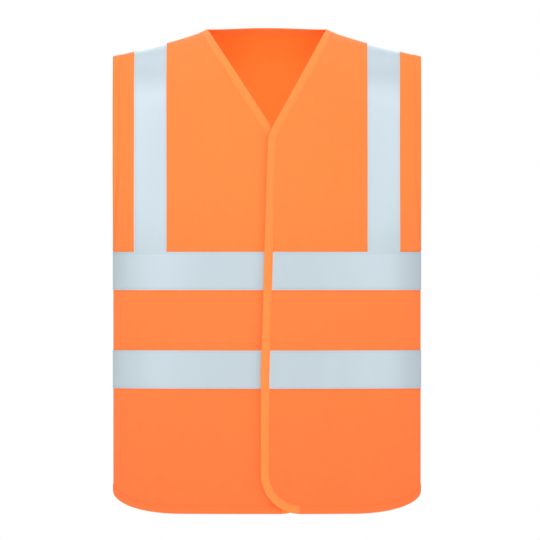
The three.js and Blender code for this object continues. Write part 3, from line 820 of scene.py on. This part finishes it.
def stand_on(name, rows, depth, lifted, tall, direction):
    """A small bent prong at each place, leaning a new way each time by a fixed turn."""
    verts, faces = [], []
    for index, (phi, climb) in enumerate(place for row in rows for place in row):
        base = cloth_point(FRONT, phi, climb, depth, lifted)
        out = form_normal(FRONT, phi, climb) * direction
        lean = Vector((math.sin(index * 2.4), 0, math.cos(index * 2.4)))
        first = len(verts)
        for share, width in ((0.0, 0.22), (0.6, 0.2), (1.0, 0.12)):
            centre = base + out * tall * share + lean * 0.35 * share * share
            for corner in range(4):
                angle = math.pi / 2 * corner
                verts.append(centre + Vector((math.cos(angle), 0, math.sin(angle))) * width)
        for ring in range(2):
            for corner in range(4):
                a = first + ring * 4 + corner
                b = first + ring * 4 + (corner + 1) % 4
                faces.append((a, b, b + 4, a + 4))
        faces.append(tuple(first + corner for corner in (3, 2, 1, 0)))
        faces.append(tuple(first + 8 + corner for corner in range(4)))
    piece = new_object(name, verts, faces)
    recalculate(piece)
    return piece


# %% Lay the strips and stand their pile and hooks on them
strips = {}
for level, (low, high) in strip_boxes.items():
    low, high = Vector(low) * 1000, Vector(high) * 1000
    low.z, high.z = low.z + NECK_HEIGHT, high.z + NECK_HEIGHT
    rows = strip_rows(low, high)
    loop = lay_sheet(f"{level}_loop_tape", FRONT, rows, CLOTH_THICK + PLY_GAP, STRIP_THICK)
    hook = lay_sheet(f"{level}_hook_tape", FRONT, rows, HOOK_DEPTH, STRIP_THICK, lifted=True)
    inner = strip_rows(low, high, columns=13, count=44, inset=2.2)
    pile = stand_on(f"{level}_loop_pile", inner, CLOTH_THICK + 0.55, False, 0.7, 1)
    hooks = stand_on(f"{level}_hooks", inner, -0.58, True, 0.8, -1)
    strips[level] = {"loop": loop, "hook": hook, "pile": pile, "hooks": hooks}
print(len(strips), "fastener pairs")

# %% [markdown]
# ## Care label
# The label is a small woven tag, caught by one edge in the left side seam. It starts as a flat
# grid, gets a narrow border by an inset in edit mode, is curled a little, and is given its
# thickness at the end. It carries no words.

# %% Model the label
label_low, label_high = (Vector(corner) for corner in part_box("care_label"))
label_size = label_high - label_low
label_centre = (label_high + label_low) / 2
bpy.ops.object.select_all(action="DESELECT")
bpy.ops.mesh.primitive_grid_add(x_subdivisions=16, y_subdivisions=24, size=1, location=(0, 0, 0))
label = bpy.context.object
label.name = "woven_label"
bpy.ops.object.mode_set(mode="EDIT")
bpy.ops.mesh.select_all(action="SELECT")
bpy.ops.transform.resize(value=(label_size.x, label_size.z, 1))
bpy.ops.transform.rotate(value=math.pi / 2, orient_axis="X", center_override=(0, 0, 0))
bpy.ops.mesh.inset(thickness=0.0015, depth=0.0)
bpy.ops.mesh.select_all(action="SELECT")
bpy.ops.transform.translate(value=label_centre)
bpy.ops.object.mode_set(mode="OBJECT")
for vert in label.data.vertices:
    share = (label_high.x - vert.co.x) / label_size.x
    vert.co.y += 0.0011 * math.sin(share * math.pi) + 0.0005 * math.sin(vert.co.z * 180) * share
wall = label.modifiers.new("thickness", "SOLIDIFY")
wall.thickness = 0.0004
wall.offset = 0
bpy.ops.object.modifier_apply(modifier="thickness")
smooth_faces(label)
print("label", [round(v * 1000) for v in label_size], "mm")

# %% [markdown]
# ## Finishes
# The cloth is warp-knit polyester in fluorescent orange: matt, with fine upright ribs and a faint
# sheen. Its inner face is painted a little yellower, painted light that offsets the shade and orange
# bounce light inside. The binding is the same dye on a looser, ribbed tape, so it reads paler. All
# are made by one helper that crosses two sets of bands on the cloth's own map, at about the pitch of
# a fine knit. A weak even glow stands for the fluorescent dye, which turns other light into orange;
# it is painted light, which also lightens the cloth where it lies in shade. The outer orange is
# painted darker from the chest to the hem, a painted shade for light that falls off downwards.

# %% Helpers for materials
def new_material(name, colour, roughness, sheen=0.0, metallic=0.0, glow=0.0):
    material = bpy.data.materials.new(name)
    material.use_nodes = True
    shader = material.node_tree.nodes["Principled BSDF"]
    shader.inputs["Base Color"].default_value = (*colour, 1)
    shader.inputs["Roughness"].default_value = roughness
    shader.inputs["Metallic"].default_value = metallic
    shader.inputs["Sheen Weight"].default_value = sheen
    shader.inputs["Sheen Roughness"].default_value = 0.5
    shader.inputs["Sheen Tint"].default_value = (*colour, 1)
    if glow:
        shader.inputs["Emission Color"].default_value = (*colour, 1)
        shader.inputs["Emission Strength"].default_value = glow
    return material, shader


def node(material, kind, **sockets):
    made = material.node_tree.nodes.new(kind)
    for name, value in sockets.items():
        made.inputs[name.replace("_", " ")].default_value = value
    return made


def link(material, source, output, target, entry):
    material.node_tree.links.new(source.outputs[output], target.inputs[entry])


# %% Helpers for the knit and the weave
def woven_bands(material, pitch, direction):
    """Bands on the cloth's own map, one every pitch metres."""
    place = material.node_tree.nodes.new("ShaderNodeUVMap")
    place.uv_map = "cloth_map"
    wave = node(material, "ShaderNodeTexWave", Scale=math.pi / (10 * pitch), Distortion=0.6, Detail=1.0)
    wave.bands_direction = direction
    link(material, place, "UV", wave, "Vector")
    return wave


def knit(material, shader, across, up, strength, depth):
    ribs, courses = woven_bands(material, across, "X"), woven_bands(material, up, "Y")
    crossed = material.node_tree.nodes.new("ShaderNodeMath")
    crossed.operation = "MULTIPLY_ADD"
    crossed.inputs[1].default_value = 0.6
    link(material, ribs, "Fac", crossed, 0)
    link(material, courses, "Fac", crossed, 2)
    bump = node(material, "ShaderNodeBump", Strength=strength, Distance=depth)
    link(material, crossed, "Value", bump, "Height")
    link(material, bump, "Normal", shader, "Normal")
    return bump


# %% Helpers for uneven colour and a painted shade
SHADE_FADE_LOW, SHADE_FADE_HIGH = -0.6, -0.2


def mottle(material, shader, colour, scale, spread):
    """A slight unevenness of the colour, on Object coordinates."""
    place = material.node_tree.nodes.new("ShaderNodeTexCoord")
    cloud = node(material, "ShaderNodeTexNoise", Scale=scale, Detail=4.0, Roughness=0.6)
    ramp = material.node_tree.nodes.new("ShaderNodeValToRGB")
    ramp.color_ramp.elements[0].position = 0.3
    ramp.color_ramp.elements[1].position = 0.7
    ramp.color_ramp.elements[0].color = (*[part * (1 - spread) for part in colour], 1)
    ramp.color_ramp.elements[1].color = (*[min(1, part * (1 + spread)) for part in colour], 1)
    link(material, place, "Object", cloud, "Vector")
    link(material, cloud, "Fac", ramp, "Fac")
    link(material, ramp, "Color", shader, "Base Color")


def paint_shade_to_hem(material, shader, colour, scale, spread):
    """The same unevenness in a darker second colour, which takes over towards the hem: a painted shade,
    darker towards the bottom.
    """
    upper = shader.inputs["Base Color"].links[0].from_socket
    mottle(material, shader, colour, scale, spread)
    lower = shader.inputs["Base Color"].links[0].from_socket
    place = material.node_tree.nodes.new("ShaderNodeTexCoord")
    split = material.node_tree.nodes.new("ShaderNodeSeparateXYZ")
    height = node(material, "ShaderNodeMapRange", From_Min=SHADE_FADE_LOW, From_Max=SHADE_FADE_HIGH)
    blend = material.node_tree.nodes.new("ShaderNodeMixRGB")
    link(material, place, "Object", split, "Vector")
    link(material, split, "Z", height, "Value")
    link(material, height, "Result", blend, "Fac")
    material.node_tree.links.new(lower, blend.inputs["Color1"])
    material.node_tree.links.new(upper, blend.inputs["Color2"])
    link(material, blend, "Color", shader, "Base Color")


# %% Cloth, binding and thread
ORANGE = (0.95, 0.215, 0.039)
HEM_SHADE_ORANGE = (0.95, 0.166, 0.034)
INNER_PAINTED_LIGHT_ORANGE = (0.95, 0.27, 0.034)
PALE_ORANGE = (0.97, 0.245, 0.046)
THREAD_ORANGE = (0.86, 0.2, 0.05)
THREAD_GREY = (0.42, 0.45, 0.47)
# Painted light: every orange finish glows weakly and evenly, also in shade, for the fluorescent dye.
cloth_finish, cloth_shader = new_material("warp_knit_orange", ORANGE, 0.85, sheen=0.15, glow=0.12)
knit(cloth_finish, cloth_shader, 0.0011, 0.0008, 0.35, 0.0002)
mottle(cloth_finish, cloth_shader, ORANGE, 90, 0.03)
# Painted shade: the orange is blended into a darker orange towards the hem, for light that falls off
# downwards.
paint_shade_to_hem(cloth_finish, cloth_shader, HEM_SHADE_ORANGE, 90, 0.03)
# Painted light: the knit's inner face gets a yellower orange that offsets the deep shade and orange
# bounce light inside the vest.
inner_painted_light_finish, inner_painted_light_shader = new_material("inner_knit_painted_light", INNER_PAINTED_LIGHT_ORANGE, 0.8, sheen=0.1, glow=0.12)
knit(inner_painted_light_finish, inner_painted_light_shader, 0.0011, 0.0016, 0.3, 0.0002)
mottle(inner_painted_light_finish, inner_painted_light_shader, INNER_PAINTED_LIGHT_ORANGE, 90, 0.03)
binding_finish, binding_shader = new_material("binding_orange", PALE_ORANGE, 0.8, sheen=0.2, glow=0.14)
knit(binding_finish, binding_shader, 0.0024, 0.0013, 0.5, 0.0003)
mottle(binding_finish, binding_shader, PALE_ORANGE, 240, 0.05)
thread_finish, thread_shader = new_material("orange_thread", THREAD_ORANGE, 0.6, sheen=0.2)
mottle(thread_finish, thread_shader, THREAD_ORANGE, 900, 0.1)
grey_thread, grey_shader = new_material("grey_thread", THREAD_GREY, 0.6, sheen=0.2)
mottle(grey_thread, grey_shader, THREAD_GREY, 900, 0.1)
print("cloth, binding and two threads")

# %% [markdown]
# The reflective tape is a coat of tiny glass beads over aluminium on woven cloth. In plain light it
# is a smooth, slightly bluish grey with a soft shine, broken by a very fine even grain. A metal
# share with middling roughness gives the shine. Tiny cells in the bump give the beads, over the
# diagonal bands of the weave.

# %% Reflective tape
SILVER = (0.56, 0.655, 0.72)
tape_finish, tape_shader = new_material("glass_bead_silver", SILVER, 0.5, metallic=0.25, sheen=0.05)
mottle(tape_finish, tape_shader, SILVER, 1500, 0.05)
bead_place = tape_finish.node_tree.nodes.new("ShaderNodeTexCoord")
beads = node(tape_finish, "ShaderNodeTexVoronoi", Scale=2600.0)
weave = woven_bands(tape_finish, 0.0009, "DIAGONAL")
bead_mix = tape_finish.node_tree.nodes.new("ShaderNodeMath")
bead_mix.operation = "MULTIPLY_ADD"
bead_mix.inputs[1].default_value = 0.5
bead_bump = node(tape_finish, "ShaderNodeBump", Strength=0.12, Distance=0.0001)
link(tape_finish, bead_place, "Object", beads, "Vector")
link(tape_finish, beads, "Distance", bead_mix, 0)
link(tape_finish, weave, "Fac", bead_mix, 2)
link(tape_finish, bead_mix, "Value", bead_bump, "Height")
link(tape_finish, bead_bump, "Normal", tape_shader, "Normal")
print("reflective tape finish")

# %% Fastener and label
STRIP_ORANGE = (0.93, 0.24, 0.055)
PILE_ORANGE_WITH_PAINTED_LIGHT = (0.95, 0.25, 0.06)
LABEL_WHITE = (0.86, 0.86, 0.83)
# Painted light: the fastener strips glow weakly and evenly too, like the cloth.
fastener_finish, fastener_shader = new_material(
    "fastener_orange", STRIP_ORANGE, 0.9, sheen=0.3, glow=0.1)
knit(fastener_finish, fastener_shader, 0.0014, 0.0014, 0.6, 0.0003)
# Partly painted light: the pile has its own orange, made lighter and given a stronger glow to offset the
# shade between its prongs.
pile_painted_light_finish, pile_shader = new_material("fastener_pile_painted_light", PILE_ORANGE_WITH_PAINTED_LIGHT, 0.7, sheen=0.3, glow=0.15)
mottle(pile_painted_light_finish, pile_shader, PILE_ORANGE_WITH_PAINTED_LIGHT, 1200, 0.12)
label_finish, label_shader = new_material("white_label", LABEL_WHITE, 0.6, sheen=0.1)
mottle(label_finish, label_shader, LABEL_WHITE, 700, 0.03)
print("fastener and label finishes")


# %% Dress every piece
def dress(pieces, finish):
    for piece in pieces:
        piece.data.materials.clear()
        piece.data.materials.append(finish)


dress([back_cloth, right_cloth, left_cloth, *seams.values()], cloth_finish)
dress(tapes.values(), tape_finish)
dress(bindings.values(), binding_finish)
dress([piece for name, piece in stitches.items() if "binding" in name], thread_finish)
dress([piece for name, piece in stitches.items() if "binding" not in name], grey_thread)
dress([strip[part] for strip in strips.values() for part in ("loop", "hook")], fastener_finish)
dress([strip[part] for strip in strips.values() for part in ("pile", "hooks")], pile_painted_light_finish)
dress([label], label_finish)


# %% Turn the knit's inner face to its lighter painted-light finish and the hem fold to its own finish
def second_finish(piece, finish, belongs):
    piece.data.materials.append(finish)
    for face in piece.data.polygons:
        face.material_index = 1 if belongs(face.center, face.normal) else 0


def faces_inside(side):
    """A front's inner face looks back, and the back's looks forward."""
    return lambda centre, normal: normal.y * side < -0.05


def on_hem(edge):
    """Past the round corner of a front, the edge is a plain fold of the cloth."""
    end = (edge["x"] + edge["hand"] * edge["corner"]) / 1000
    top = (HEM_RISE + 2 * BINDING_WIDTH - NECK_HEIGHT) / 1000
    return lambda centre, normal: (centre.x - end) * edge["hand"] > 0 and centre.z < top


second_finish(back_cloth, inner_painted_light_finish, faces_inside(BACK))
second_finish(right_cloth, inner_painted_light_finish, faces_inside(FRONT))
second_finish(left_cloth, inner_painted_light_finish, faces_inside(FRONT))
second_finish(bindings["right_front"], cloth_finish, on_hem(UNDER_EDGE))
second_finish(bindings["left_front"], cloth_finish, on_hem(TOP_EDGE))
for name in ("back_hem", "right_armhole", "left_armhole"):
    second_finish(bindings[name], cloth_finish, lambda centre, normal: True)

# %% [markdown]
# ## How the pieces move
# The frame opens each front on a straight crease. Cloth has no hinge there: it rolls over. Here a
# whole front, its tapes, its binding and its stitches only have their placing baked into their
# meshes, and the frame's pieces for them are hidden. Everything else rides on the body it is sewn to.


def fold(piece):
    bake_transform(piece)


for name, cloth in {"left": left_cloth, "right": right_cloth}.items():
    fold(cloth)
    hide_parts(f"{name}_front_side", f"{name}_front_flap")
    fold(bindings[f"{name}_front"])
    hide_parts(f"{name}_neck_binding", f"{name}_flap_binding",
                f"{name}_front_hem_binding")
    fold(stitches[f"{name}_front_binding"])
    fold(stitches[f"{name}_tape"])
    for level in ("upper", "lower"):
        fold(tapes[f"{name}_{level}"])
        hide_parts(f"{name}_front_{level}_tape", f"{name}_flap_{level}_tape")

# %% Ride the rest
still = {back_cloth: "back_panel", tapes["back_upper"]: "back_upper_tape",
         tapes["back_lower"]: "back_lower_tape", bindings["back_neck"]: "back_neck_binding",
         bindings["back_hem"]: "back_hem_binding"}
for name in ("right", "left"):
    still[bindings[f"{name}_armhole"]] = f"{name}_armhole_binding"
    still[seams[f"{name}_shoulder"]] = f"{name}_shoulder_seam"
    still[seams[f"{name}_side"]] = f"{name}_side_seam"
    for place in ("front", "back"):
        still[tapes[f"{name}_{place}_brace"]] = f"{name}_{place}_brace_tape"
for piece, cad_node in still.items():
    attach(piece, "vest_body")
    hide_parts(cad_node)
for name in ("back_neck_binding", "back_hem_binding", "right_armhole_binding", "left_armhole_binding",
             "back_tape", "brace"):
    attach(stitches[name], "vest_body")
for level, strip in strips.items():
    for part, body in {"loop": "right_front", "pile": "right_front", "hook": "left_front",
                       "hooks": "left_front"}.items():
        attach(strip[part], body)
    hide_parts(f"{level}_loop_strip")
    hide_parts(f"{level}_hook_strip")
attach(label, "label")
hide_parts("care_label")

# %% [markdown]
# ## Light, floor and camera
# The vest hangs in front of a plain white ground. A very broad soft lamp overhead is the strongest,
# so the light falls off gently from the shoulders to the hem. A smaller one stands in front and
# above, a weaker one fills from each side, and one behind lights the back. The ground looks white
# to the camera but lights the cloth only a little, so that the lamps can shape it. The camera
# stands level with the middle of the vest, far back with a long lens, so that its bands stay
# straight.

# %% World
GROUND_LIGHT = 0.36
scene = bpy.context.scene
scene.view_settings.view_transform = "Standard"
world = bpy.data.worlds.new("studio")
scene.world = world
world.use_nodes = True
ground = world.node_tree.nodes["Background"]
ground.inputs["Color"].default_value = (1, 1, 1, 1)
seen = world.node_tree.nodes.new("ShaderNodeLightPath")
strength = world.node_tree.nodes.new("ShaderNodeMapRange")
strength.inputs["To Min"].default_value = GROUND_LIGHT
strength.inputs["To Max"].default_value = 1.0
world.node_tree.links.new(seen.outputs["Is Camera Ray"], strength.inputs["Value"])
world.node_tree.links.new(strength.outputs["Result"], ground.inputs["Strength"])
print("ground light:", GROUND_LIGHT)

# %% Floor
bpy.ops.object.select_all(action="DESELECT")
bpy.ops.mesh.primitive_plane_add(size=9, location=(0, 0, -0.95))
floor = bpy.context.object
floor.name = "studio_floor"
floor_finish, _ = new_material("pale_floor", (0.94, 0.94, 0.93), 0.9, glow=0.3)
floor.data.materials.append(floor_finish)
print("floor at", floor.location.z, "m")


# %% Lamps
def softbox(name, place, aim, size, power):
    lamp = bpy.data.lights.new(name, "AREA")
    lamp.shape = "DISK"
    lamp.size = size
    lamp.energy = power
    holder = bpy.data.objects.new(name, lamp)
    scene.collection.objects.link(holder)
    holder.location = place
    holder.rotation_euler = (Vector(aim) - Vector(place)).to_track_quat("-Z", "Y").to_euler()


softbox("ceiling", (0, 0, 2.2), (0, 0, 0), 2.8, 26)
softbox("key", (-0.15, -1.3, 0.75), (0, 0, -0.15), 1.0, 9)
softbox("right_fill", (-1.4, -0.8, 0.2), (0, 0, -0.2), 1.1, 6.9)
softbox("left_fill", (1.4, -0.8, 0.2), (0, 0, -0.2), 1.1, 6.9)
softbox("back", (0, 1.8, 0.7), (0, 0, -0.2), 1.3, 15)

# %% Camera
VIEW_WIDTH = 0.702
DISTANCE = 20.0
SENSOR = 36
camera = bpy.data.objects.new("camera", bpy.data.cameras.new("camera"))
camera.data.sensor_width = SENSOR
camera.data.lens = SENSOR * DISTANCE / VIEW_WIDTH
camera.data.clip_end = 60
camera.location = (0.0039, -DISTANCE, -0.312)
camera.rotation_euler = (math.pi / 2, 0, 0)
scene.collection.objects.link(camera)
scene.camera = camera
print(f"lens {camera.data.lens:.0f} mm, view {VIEW_WIDTH} m wide")
